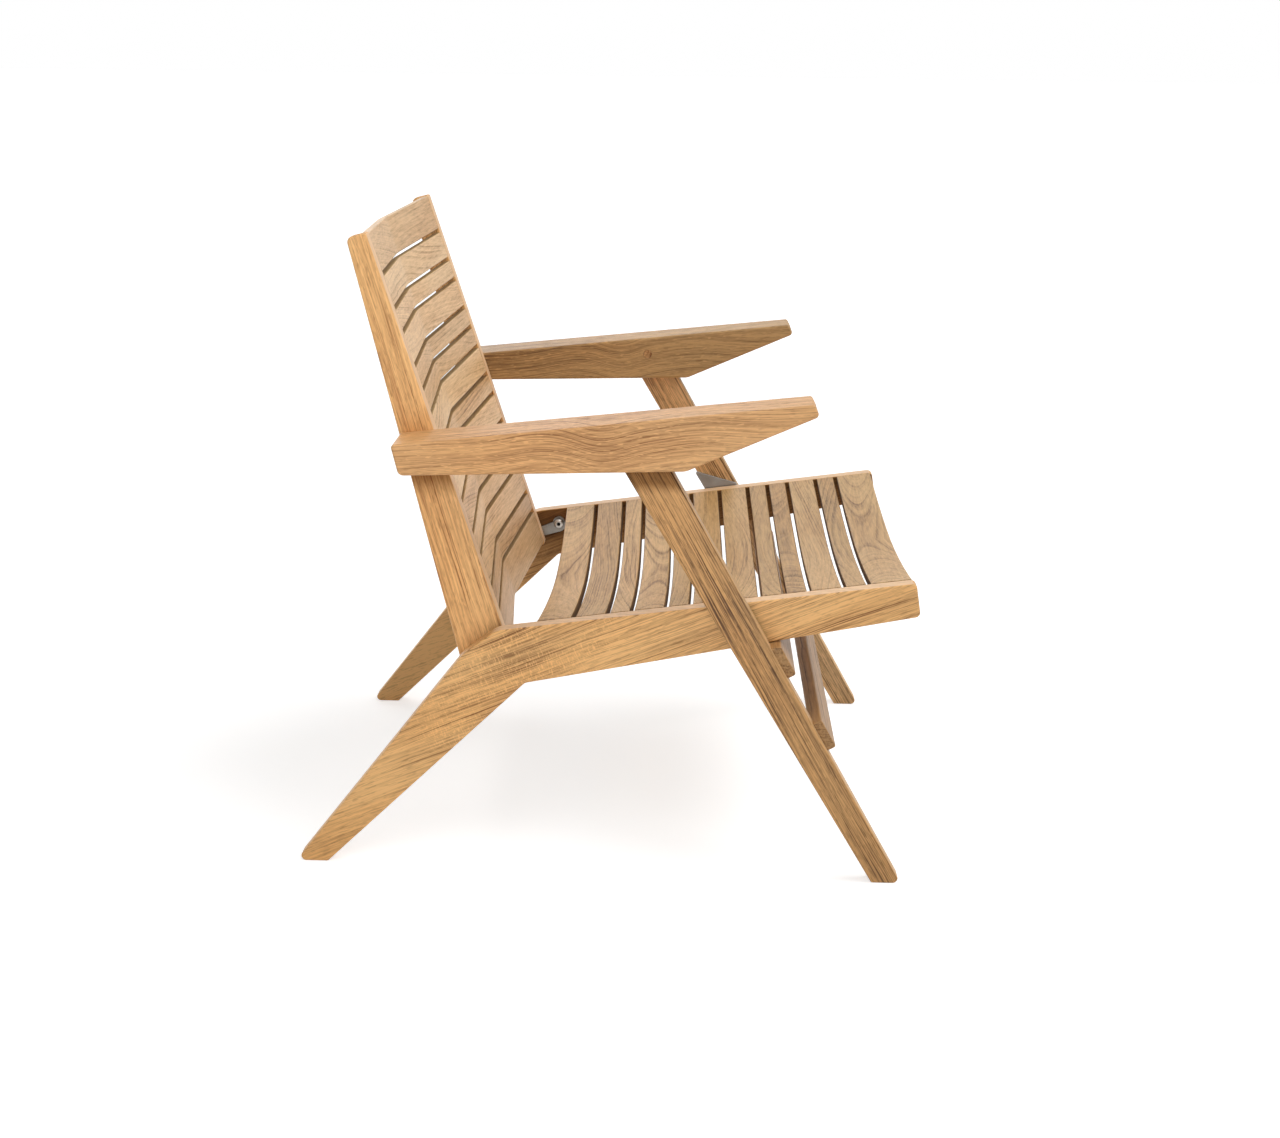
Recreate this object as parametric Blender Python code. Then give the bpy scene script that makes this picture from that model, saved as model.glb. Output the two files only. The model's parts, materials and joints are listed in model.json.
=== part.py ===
"""Folding slatted lounge chair with armrests, drawn open. Metres, +Z up, the front faces -Y.

Side outlines are written as (forward, height) pairs; forward is measured from the middle of the depth.
"""
import math

import bmesh
import bpy
from mathutils import Matrix

# Driving dimensions (metres)
RAIL_HALF_WIDTH = 0.288     # outer face of a seat rail, from the middle of the chair
RAIL_T = 0.020              # thickness of rear leg and rail board
LEG_T = 0.020               # thickness of a front leg
STILE_T = 0.020             # thickness of a back stile
STILE_INSET = 0.010         # stile outer face inboard of the rail inner face
PLATE_T = 0.003             # steel pivot plate on the leg
BRACKET_T = 0.0035          # steel hinge bracket on the stile
LEG_CLEAR = 0.006           # rail outer face to leg inner face
ARM_CLEAR = 0.0015          # stile outer face to armrest inner face
ARM_OUT_REAR = 0.330        # outer face of the armrest at its rear end, from the middle
ARM_OUT_FRONT = 0.318       # outer face of the armrest at its tip, from the middle
ARM_SKIN = 0.005            # wood left above the leg slot
SLAT_WIDE = 0.0364          # wide slat
SLAT_NARROW = 0.0244        # narrow slat
SEAT_REAR_SLAT = 0.0418     # rear seat slat
SEAT_FRONT_SLAT = 0.0490    # front seat slat
SEAT_SLAT_T = 0.013         # thickness of the seat slats
SEAT_DIP = 0.025            # hollow of the seat slats in the middle
BACK_TOP_SLAT = 0.0474      # top back slat
BACK_LOW_SLAT = 0.0486      # bottom back slat
BACK_SLAT_T = 0.012         # thickness of the back slats
BACK_DIP = 0.020            # set-back of the back slats in the middle
TENON_L = 0.008             # length of a slat tenon
TENON_T = 0.007             # thickness of a slat tenon
TENON_SHOULDER = 0.005      # slat edge to tenon edge
SLAT_ROUND = 0.0022         # rounding of the slat edges
SLAT_SET = 0.0006           # back slats lie this far behind the front edge of the stile
SEAT_SET = 0.003            # front slat ends this far behind the rail end
BAR_T = 0.0172              # thickness of stop bar and stretcher
BAR_H = 0.0385              # height of the bars along the leg
BAR_PROUD = 0.0112          # bars stand this far in front of the leg edge
BAR_ROUND = 0.003           # rounding of the front edges of the bars
BAR_SKIN = 0.004            # wood of the leg left outside the bar ends
STRETCHER_AT = 0.1322       # stretcher below the leg pivot, along the leg
STOP_GAP = 0.0006           # stop bar below the underside of the rail
FIT = 0.0003                # play between pieces
ARRIS = 0.002               # rounding of the board edges
BAR_ARRIS = 0.0015          # rounding of the bar ends
ARM_ARRIS = 0.003           # rounding of the armrest edges
SHEET_ARRIS = 0.0004        # rounding of the steel sheet edges
HINGE_R = 0.0045            # shank of the back hinge bolt
PIVOT_R = 0.005             # shank of the leg pivot bolt
PIN_R = 0.004               # arm pins and arm bolts
HEAD_R = 0.0073             # heads of the bolts
HEAD_H = 0.0052             # height of the bolt heads
SPACER_R = 0.0088           # spacer between hinge bracket and rail
WASHER_R = 0.0115           # washer between rail and pivot plate
BOLT_COVER = 0.0055         # wood left in front of a blind bolt hole
BOLT_END = 0.0005           # space in front of a bolt end
ARM_BOLT_L = 0.040          # arm bolt in the armrest
PIN_SEAT = 0.0042           # arm pin beyond the slot
PLUG_L = 0.0071             # wooden plug over the arm pin
PLUG_STEP = 0.002           # plug radius over pin radius
SCREW_R = 0.002             # bracket screws
SCREW_L = 0.010             # bracket screws in the stile
SCREW_HEAD_R = 0.004        # heads of the bracket screws
SCREW_HEAD_H = 0.0022       # height of these heads
OVER = 0.004                # cutting bodies reach this far past a face
AXIS_MARK = 0.05            # size of the empties on the joint axes
SMOOTH_BELOW = math.radians(50)     # flatter edges are shaded smooth
SIDES = (("left", 1), ("right", -1))

# Side outlines: (forward, height, corner radius); the armrest's is measured from the arm bolt
RAIL_OUTLINE = [(-0.3769, 0.0, 0.006), (-0.3377, 0.0, 0.002), (-0.0934, 0.2377, 0.010),
                (0.3715, 0.3300, 0.006), (0.3646, 0.3708, 0.006), (-0.1267, 0.3032, 0.035),
                (-0.1667, 0.2730, 0.050)]
STILE_OUTLINE = [(-0.1099, 0.2600, 0.004), (-0.2717, 0.7620, 0.0025), (-0.2949, 0.7560, 0.007),
                 (-0.1735, 0.2560, 0.006)]
ARM_SHAPE = [(-0.0170, 0.0130, 0.004), (-0.0085, -0.0225, 0.007), (0.3160, -0.0140, 0.020),
             (0.4655, 0.0510, 0.005), (0.4585, 0.0645, 0.004)]


def edge_height(a, b, forward):
    """Height of the straight edge from a to b at that distance forward."""
    return a[1] + (b[1] - a[1]) * (forward - a[0]) / (b[0] - a[0])


# Pivots; hinge to arm bolt and leg pivot to arm pin are equal links, so the armrests stay level
HINGE_AT, HINGE_UP = -0.0917, 0.04996           # forward, and above the underside of the rail
LEG_PIVOT_AT, LEG_PIVOT_UP = 0.1668, 0.01814    # the same for the leg pivot
ARM_BOLT_H = 0.5210                             # height of the arm bolt
ARM_BOLT_IN = 0.01514                           # arm bolt in front of the rear edge of the stile
HINGE = (HINGE_AT, edge_height(*RAIL_OUTLINE[2:4], HINGE_AT) + HINGE_UP)
LEG_PIVOT = (LEG_PIVOT_AT, edge_height(*RAIL_OUTLINE[2:4], LEG_PIVOT_AT) + LEG_PIVOT_UP)
stile_a, stile_b = STILE_OUTLINE[3], STILE_OUTLINE[2]
stile_rear = stile_a[0] + (stile_b[0] - stile_a[0]) * (ARM_BOLT_H - stile_a[1]) / (stile_b[1] - stile_a[1])
ARM_BOLT = (stile_rear + ARM_BOLT_IN, ARM_BOLT_H)
LINK = (ARM_BOLT[0] - HINGE[0], ARM_BOLT[1] - HINGE[1])
ARM_PIN = (LEG_PIVOT[0] + LINK[0], LEG_PIVOT[1] + LINK[1])
ARM_OUTLINE = [(ARM_BOLT[0] + f, ARM_BOLT[1] + z, r) for f, z, r in ARM_SHAPE]
RAIL_SLOPE = (RAIL_OUTLINE[4][1] - RAIL_OUTLINE[5][1]) / (RAIL_OUTLINE[4][0] - RAIL_OUTLINE[5][0])
SEAT_REAR = -0.0807         # rear edge of the rear seat slat
BACK_TOP = 0.0008           # top slat below the top corner of the stile, along the stile
BACK_END = 0.5227           # lower edge of the bottom slat, along the stile
LEG_EDGE = 0.0200           # front edge of the leg in front of the pivot line
LEG_REAR = 0.0212           # rear edge of the leg behind the pivot line, at the pivot
LEG_TAPER = 0.02826         # the rear edge comes in by this share of the way down
LEG_CROWN = 0.014           # leg above the arm pin, along the leg
LEG_CROWN_HALF = 0.0128     # half width of the leg end in the armrest
LEG_SHOULDER = 0.0245       # leg reaches its full width this far below the arm pin
PLATE_REAR_UP = 0.078       # upper rear corner of the pivot plate above the pivot, along the leg
PLATE_FRONT_UP = 0.033      # upper front corner of the plate above the pivot
PLATE_PAST = 0.0047         # plate stands out behind the leg at its upper corner
PLATE_PAST_LOW = 0.0015     # and at its lower corner
PLATE_BEHIND = 0.0005       # plate edge behind the front edge of the leg
PLATE_OVER_BAR = 0.002      # plate ends this far above the stop bar
SLOT_BACK = 0.131           # armrest slot behind the arm pin
SLOT_CLEAR = 0.0012         # slot in front of the leg
SLOT_UNDER = 0.0135         # the slot cut starts this far below the armrest
SLOT_LOW = 0.060            # lower end of the slot front wall below the pin, along the leg
SLOT_HIGH = 0.004           # upper end of that wall above the pin
SLOT_RAMP = (0.030, 0.018)  # sloping rear end of the slot
BRACKET_L = 0.0580          # hinge bracket behind the hinge
BRACKET_FRONT = 0.0092      # and in front of it
BRACKET_UP, BRACKET_DOWN = 0.0092, 0.0105
BRACKET_TAIL = 0.0050       # half height of its tail
BRACKET_ROUND = 0.009
SCREW_IN = (0.0240, 0.0090) # bracket screws in front of the rear end of the bracket
BRACKET_FALL = 0.42         # slope of the bracket

# Lateral layers from the middle outward
rail_out, rail_in = RAIL_HALF_WIDTH, RAIL_HALF_WIDTH - RAIL_T
stile_out, stile_in = rail_in - STILE_INSET, rail_in - STILE_INSET - STILE_T
leg_in, leg_out = rail_out + LEG_CLEAR, rail_out + LEG_CLEAR + LEG_T
arm_in = stile_out + ARM_CLEAR

for old in list(bpy.data.objects):
    bpy.data.objects.remove(old, do_unlink=True)


def make_material(name, colour, rough, metallic):
    mat = bpy.data.materials.new(name)
    mat.use_nodes = True
    bsdf = mat.node_tree.nodes["Principled BSDF"]
    bsdf.inputs["Base Color"].default_value = (*colour, 1.0)
    bsdf.inputs["Roughness"].default_value = rough
    bsdf.inputs["Metallic"].default_value = metallic
    return mat


FRAME_WOOD = make_material("teak_frame", (0.46, 0.24, 0.09), 0.55, 0.0)
SLAT_WOOD = make_material("teak_slat", (0.42, 0.26, 0.13), 0.60, 0.0)
STEEL = make_material("stainless", (0.42, 0.40, 0.38), 0.35, 1.0)


def add_object(name, bm, mat):
    bmesh.ops.recalc_face_normals(bm, faces=bm.faces)
    mesh = bpy.data.meshes.new(name)
    bm.to_mesh(mesh)
    bm.free()
    mesh.materials.append(mat)
    obj = bpy.data.objects.new(name, mesh)
    bpy.context.scene.collection.objects.link(obj)
    return obj


def loft(name, rings, mat, closed=False):
    """One closed body through rings of 3-D points; capped at both ends, or joined end to end."""
    bm = bmesh.new()
    loops = [[bm.verts.new(p) for p in ring] for ring in rings]
    count = len(loops[0])
    pairs = list(zip(loops, loops[1:])) + ([(loops[-1], loops[0])] if closed else [])
    for a, b in pairs:
        for i in range(count):
            j = (i + 1) % count
            bm.faces.new((a[i], a[j], b[j], b[i]))
    if not closed:
        bm.faces.new(loops[0])
        bm.faces.new(loops[-1])
    return add_object(name, bm, mat)


def round_outline(points, steps=5):
    """Outline with its corners rounded, as (forward, height) pairs."""
    out = []
    n = len(points)
    for i, (px, pz, r) in enumerate(points):
        ax, az = points[i - 1][0] - px, points[i - 1][1] - pz
        bx, bz = points[(i + 1) % n][0] - px, points[(i + 1) % n][1] - pz
        la, lb = math.hypot(ax, az), math.hypot(bx, bz)
        ax, az, bx, bz = ax / la, az / la, bx / lb, bz / lb
        half = math.acos(max(-1.0, min(1.0, ax * bx + az * bz))) / 2
        reach = min(r / math.tan(half), 0.48 * la, 0.48 * lb)
        r = reach * math.tan(half)
        mx, mz = ax + bx, az + bz
        lm = math.hypot(mx, mz)
        cx, cz = px + mx / lm * r / math.sin(half), pz + mz / lm * r / math.sin(half)
        a0 = math.atan2(pz + az * reach - cz, px + ax * reach - cx)
        a1 = math.atan2(pz + bz * reach - cz, px + bx * reach - cx)
        turn = (a1 - a0 + math.pi) % (2 * math.pi) - math.pi
        out += [(cx + r * math.cos(a0 + turn * k / steps), cz + r * math.sin(a0 + turn * k / steps))
                for k in range(steps + 1)]
    return out


def inset(outline, dist):
    """Outline moved inward by dist, corner by corner."""
    n = len(outline)
    area = sum(outline[i - 1][0] * outline[i][1] - outline[i][0] * outline[i - 1][1] for i in range(n))
    sign = 1.0 if area > 0 else -1.0
    out = []
    for i in range(n):
        (ax, az), (px, pz), (bx, bz) = outline[i - 1], outline[i], outline[(i + 1) % n]
        d1, d2 = (px - ax, pz - az), (bx - px, bz - pz)
        l1, l2 = math.hypot(*d1), math.hypot(*d2)
        n1, n2 = (-d1[1] / l1, d1[0] / l1), (-d2[1] / l2, d2[0] / l2)
        scale = dist * sign / max(0.2, 1 + n1[0] * n2[0] + n1[1] * n2[1])
        out.append((px + (n1[0] + n2[0]) * scale, pz + (n1[1] + n2[1]) * scale))
    return out


def board(name, corners, inner, outer, side, mat, arris=ARRIS, steps=5):
    """Board with rounded arrises; inner and outer are distances from the middle, or functions of forward."""
    outline = round_outline([(f, z, max(r, 1.3 * arris)) for f, z, r in corners], steps)
    inner_at = inner if callable(inner) else (lambda f: inner)
    outer_at = outer if callable(outer) else (lambda f: outer)
    rings = []
    for back, deep in ((1.0, 0.0), (0.29, 0.29), (0.0, 1.0)):
        rings.append([(side * (inner_at(f) + deep * arris), -f, z) for f, z in inset(outline, back * arris)])
    for back, deep in ((0.0, 1.0), (0.29, 0.29), (1.0, 0.0)):
        rings.append([(side * (outer_at(f) - deep * arris), -f, z) for f, z in inset(outline, back * arris)])
    return loft(name, rings, mat)


def lathe(name, profile, at, side, mat, closed=False, steps=18):
    """Turned piece about the lateral axis through at; profile rows are (from the middle, radius, hex)."""
    rings = []
    for x, r, is_hex in profile:
        ring = []
        for k in range(steps):
            a = 2 * math.pi * k / steps
            rr = r * math.cos(math.pi / 6) / math.cos((a % (math.pi / 3)) - math.pi / 6) if is_hex else r
            ring.append((side * x, -(at[0] + rr * math.cos(a)), at[1] + rr * math.sin(a)))
        rings.append(ring)
    return loft(name, rings, mat, closed)


def bolt(name, at, under_head, tip, shank, head, head_h, side, outward=1.0, steps=18):
    """Button head bolt with a hexagon socket; outward is the way from head to tip."""
    s = outward
    top = under_head - s * head_h
    profile = [(top + s * 0.6 * head_h, 0.42 * head, True), (top, 0.42 * head, True),
               (top, 0.62 * head, False), (top + s * 0.35 * head_h, 0.9 * head, False),
               (top + s * 0.75 * head_h, head, False),
               (under_head, head, False), (under_head, shank, False), (tip - s * 0.001, shank, False),
               (tip, shank - 0.001, False)]
    return lathe(name, profile, at, side, STEEL, steps=steps)


def ring_washer(name, at, x0, x1, bore, radius, side):
    rows = [(x0, bore, False), (x0, radius, False), (x1, radius, False), (x1, bore, False)]
    return lathe(name, rows, at, side, STEEL, closed=True)


def cutter(shapes):
    """One cutting body out of several lofted shapes, each a list of rings."""
    bm = bmesh.new()
    for rings in shapes:
        loops = [[bm.verts.new(p) for p in ring] for ring in rings]
        count = len(loops[0])
        faces = [bm.faces.new(loops[0]), bm.faces.new(loops[-1])]
        for a, b in zip(loops, loops[1:]):
            for i in range(count):
                j = (i + 1) % count
                faces.append(bm.faces.new((a[i], a[j], b[j], b[i])))
        bmesh.ops.recalc_face_normals(bm, faces=faces)
    return add_object("cutter", bm, STEEL)


def cut(obj, shapes):
    """Take the shapes out of the object and keep the result as its mesh."""
    tool = cutter(shapes)
    mod = obj.modifiers.new("cut", "BOOLEAN")
    mod.operation, mod.solver, mod.object = "DIFFERENCE", "EXACT", tool
    graph = bpy.context.evaluated_depsgraph_get()
    mesh = bpy.data.meshes.new_from_object(obj.evaluated_get(graph))
    obj.modifiers.clear()
    old, obj.data = obj.data, mesh
    mesh.name = obj.name
    bpy.data.meshes.remove(old)
    bpy.data.objects.remove(tool, do_unlink=True)


def hole(at, x0, x1, radius, side, steps=18):
    turn = [2 * math.pi * k / steps for k in range(steps)]
    return [[(side * x, -(at[0] + radius * math.cos(a)), at[1] + radius * math.sin(a)) for a in turn]
            for x in (x0, x1)]


def block(outline, x0, x1, side):
    return [[(side * x, -f, z) for f, z in outline] for x in (x0, x1)]


def oblong(origin, along, across, a0, a1, c0, c1):
    """Four corners in side view: origin plus along times a plus across times c."""
    return [(origin[0] + along[0] * a + across[0] * c, origin[1] + along[1] * a + across[1] * c)
            for a, c in ((a0, c0), (a1, c0), (a1, c1), (a0, c1))]


def slat(name, origin, along, across, start, width, thick, half, sag, stations, tenon_w, mat):
    """Slat across the chair with tenons at both ends; sag(x), taken at the stations, hollows it."""
    def section(a0, a1, c0, c1, r, x):
        flat = [(a0, c0, r), (a1, c0, r), (a1, c1, r), (a0, c1, r)]
        pts = round_outline(flat, 2)
        drop = sag(x)
        return [(x, -(origin[0] + along[0] * a + across[0] * (c + drop)),
                 origin[1] + along[1] * a + across[1] * (c + drop)) for a, c in pts]

    body = half - FIT
    mid, ten = start + width / 2, tenon_w / 2
    rows = list(stations) + [-r for r in reversed(stations[:-1])]
    rings = [section(start, start + width, 0.0, thick, SLAT_ROUND, body * r) for r in rows]
    c0 = (thick - TENON_T) / 2
    for x, where in ((-body, 0), (body, None)):
        end = x * (body + TENON_L) / body
        near = section(mid - ten, mid + ten, c0, c0 + TENON_T, 0.001, x)
        far = [(end, p[1], p[2]) for p in near]
        rings = [far, near] + rings if where == 0 else rings + [near, far]
    return loft(name, rings, mat)


def mortise(origin, along, across, start, width, thick, half, tenon_w, side):
    mid, ten = start + width / 2, tenon_w / 2 + FIT
    c0 = (thick - TENON_T) / 2
    out = oblong(origin, along, across, mid - ten, mid + ten, c0 - FIT, c0 + TENON_T + FIT)
    return block(out, half - OVER, half + TENON_L + 2 * FIT, side)


# Seat and back planes: where the slats lie
rail_len = math.hypot(1.0, RAIL_SLOPE)
seat_along, seat_down = (1 / rail_len, RAIL_SLOPE / rail_len), (RAIL_SLOPE / rail_len, -1 / rail_len)
seat_origin = (SEAT_REAR, RAIL_OUTLINE[4][1] - RAIL_SLOPE * (RAIL_OUTLINE[4][0] - SEAT_REAR))
seat_len = (RAIL_OUTLINE[4][0] - SEAT_REAR) * rail_len - SEAT_SET
bottom, top = STILE_OUTLINE[0], STILE_OUTLINE[1]
stile_len = math.hypot(bottom[0] - top[0], bottom[1] - top[1])
back_along = ((bottom[0] - top[0]) / stile_len, (bottom[1] - top[1]) / stile_len)
back_behind = (back_along[1], -back_along[0])
back_origin = (top[0] + SLAT_SET * back_behind[0], top[1] + SLAT_SET * back_behind[1])


def spread(widths, start, end):
    """Start and width of each slat, with even gaps from start to end."""
    gap = (end - start - sum(widths)) / (len(widths) - 1)
    rows = []
    for width in widths:
        rows.append((start, width))
        start += width + gap
    return rows


# Slat rows along the seat (rear to front) and along the back (top to bottom)
W, N = SLAT_WIDE, SLAT_NARROW
seat_rows = spread((SEAT_REAR_SLAT, W, N, W, N, W, W, N, N, W, N, SEAT_FRONT_SLAT), 0.0, seat_len)
back_rows = spread((BACK_TOP_SLAT, W, N, W, N, N, W, N, W, W, N, W, N, BACK_LOW_SLAT), BACK_TOP, BACK_END)

# Leg lines: the front edge runs parallel to the link
link_len = math.hypot(*LINK)
leg_down = (-LINK[0] / link_len, -LINK[1] / link_len)
leg_front = (-leg_down[1], leg_down[0])
leg_top, leg_neck = -link_len - LEG_CROWN, -link_len + LEG_SHOULDER


def leg_point(s, w):
    """Point s down the leg from its pivot and w in front of the pivot line."""
    return (LEG_PIVOT[0] + leg_down[0] * s + leg_front[0] * w,
            LEG_PIVOT[1] + leg_down[1] * s + leg_front[1] * w)


def on_floor(w0, slope):
    """Distance down the leg at which the line w0 + slope * s reaches the floor."""
    return (LEG_PIVOT[1] + leg_front[1] * w0) / (-leg_down[1] - leg_front[1] * slope)


def leg_rear(s):
    return LEG_TAPER * s - LEG_REAR


foot_front, foot_rear = on_floor(LEG_EDGE, 0.0), on_floor(-LEG_REAR, LEG_TAPER)
LEG_OUTLINE = [(*leg_point(foot_front, LEG_EDGE), 0.006), (*leg_point(leg_neck, LEG_EDGE), 0.008),
               (*leg_point(leg_top, LEG_CROWN_HALF), LEG_CROWN_HALF),
               (*leg_point(leg_top, -LEG_CROWN_HALF), LEG_CROWN_HALF),
               (*leg_point(leg_neck, leg_rear(leg_neck)), 0.008),
               (*leg_point(foot_rear, leg_rear(foot_rear)), 0.003)]

# Bars let into the front edge of the legs; the stop bar follows the underside of the rail
bar_out, bar_back = LEG_EDGE + BAR_PROUD, LEG_EDGE + BAR_PROUD - BAR_T
under_a, under_b = RAIL_OUTLINE[2], RAIL_OUTLINE[3]
under_len = math.hypot(under_b[0] - under_a[0], under_b[1] - under_a[1])
under_n = ((under_b[1] - under_a[1]) / under_len, -(under_b[0] - under_a[0]) / under_len)


def under_rail(w, gap):
    """Distance down the leg at which the line w lies gap below the underside of the rail."""
    p = leg_point(0.0, w)
    depth = (p[0] - under_a[0]) * under_n[0] + (p[1] - under_a[1]) * under_n[1]
    return (gap - depth) / (leg_down[0] * under_n[0] + leg_down[1] * under_n[1])


stop_back, stop_front = under_rail(bar_back, STOP_GAP), under_rail(bar_out, STOP_GAP)
stop_end, stretcher_end = stop_front + BAR_H, STRETCHER_AT + BAR_H
STOP_OUTLINE = [(*leg_point(stop_back, bar_back), BAR_ARRIS), (*leg_point(stop_front, bar_out), BAR_ROUND),
                (*leg_point(stop_end, bar_out), BAR_ROUND), (*leg_point(stop_end, bar_back), BAR_ARRIS)]
STRETCHER_OUTLINE = [(*leg_point(STRETCHER_AT, bar_back), BAR_ARRIS),
                     (*leg_point(STRETCHER_AT, bar_out), BAR_ROUND),
                     (*leg_point(stretcher_end, bar_out), BAR_ROUND),
                     (*leg_point(stretcher_end, bar_back), BAR_ARRIS)]
plate_low, plate_edge = stop_back - PLATE_OVER_BAR, LEG_EDGE - PLATE_BEHIND
PLATE_OUTLINE = [(*leg_point(-PLATE_REAR_UP, -LEG_REAR - PLATE_PAST), 0.002),
                 (*leg_point(-PLATE_FRONT_UP, plate_edge), 0.002), (*leg_point(plate_low, plate_edge), 0.002),
                 (*leg_point(plate_low, -LEG_REAR - PLATE_PAST_LOW), 0.002)]
ARM_TOP_SLOPE = (ARM_OUTLINE[4][1] - ARM_OUTLINE[0][1]) / (ARM_OUTLINE[4][0] - ARM_OUTLINE[0][0])


def arm_ceiling(f):
    return ARM_OUTLINE[0][1] + ARM_TOP_SLOPE * (f - ARM_OUTLINE[0][0]) - ARM_SKIN


slot_rear, slot_front = ARM_PIN[0] - SLOT_BACK, LEG_EDGE + SLOT_CLEAR
slot_low, slot_high = leg_point(SLOT_LOW - link_len, slot_front), leg_point(-link_len - SLOT_HIGH, slot_front)
slot_floor = ARM_OUTLINE[1][1] - SLOT_UNDER
slot_foot = slot_low[0] + (slot_low[1] - slot_floor) * leg_down[0] / -leg_down[1]
slot_peak, slot_ramp = slot_high[0] - SLOT_HIGH, slot_rear + SLOT_RAMP[0]
SLOT_OUTLINE = [(slot_rear, slot_floor), (slot_foot, slot_floor), slot_high,
                (slot_peak, arm_ceiling(slot_peak)), (slot_ramp, arm_ceiling(slot_ramp)),
                (slot_rear, arm_ceiling(slot_rear) - SLOT_RAMP[1])]

bracket_rear = (HINGE[0] - BRACKET_L, HINGE[1] - BRACKET_FALL * BRACKET_L)
BRACKET_OUTLINE = [(HINGE[0] + BRACKET_FRONT, HINGE[1] + BRACKET_UP, BRACKET_ROUND),
                   (bracket_rear[0], bracket_rear[1] + BRACKET_TAIL, BRACKET_TAIL),
                   (bracket_rear[0], bracket_rear[1] - BRACKET_TAIL, BRACKET_TAIL),
                   (HINGE[0] + BRACKET_FRONT, HINGE[1] - BRACKET_DOWN, BRACKET_ROUND)]
SCREWS = [(bracket_rear[0] + d, bracket_rear[1] + BRACKET_FALL * d) for d in SCREW_IN]


def arm_outer(f):
    t = (f - ARM_OUTLINE[0][0]) / (ARM_OUTLINE[4][0] - ARM_OUTLINE[0][0])
    return ARM_OUT_REAR + (ARM_OUT_FRONT - ARM_OUT_REAR) * t


def seat_sag(x):
    t = min(1.0, abs(x) / (rail_in - FIT))
    return SEAT_DIP * (1.0 - t ** 1.7)


def back_sag(x):
    t = min(1.0, abs(x) / (stile_in - FIT))
    return BACK_DIP * (1.0 - (math.sqrt(t * t + 0.0016) - 0.04) / (math.sqrt(1.0016) - 0.04))


def tenon_width(width):
    return width - 2 * TENON_SHOULDER


# Slats
for i, (start, width) in enumerate(seat_rows, 1):
    slat(f"seat_slat_{i:02d}", seat_origin, seat_along, seat_down, start, width, SEAT_SLAT_T, rail_in,
         seat_sag, (-1.0, -0.84, -0.62, -0.4, -0.2, 0.0), tenon_width(width), SLAT_WOOD)
for i, (start, width) in enumerate(back_rows, 1):
    slat(f"back_slat_{i:02d}", back_origin, back_along, back_behind, start, width, BACK_SLAT_T, stile_in,
         back_sag, (-1.0, -0.2, -0.07, -0.025, 0.0), tenon_width(width), SLAT_WOOD)

# Bars run across the chair, housed in both legs
bar_end = leg_out - BAR_SKIN
for name, outline in (("stop_bar", STOP_OUTLINE), ("stretcher", STRETCHER_OUTLINE)):
    board(name, outline, -bar_end, bar_end, 1, FRAME_WOOD, BAR_ARRIS, 3)

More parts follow.
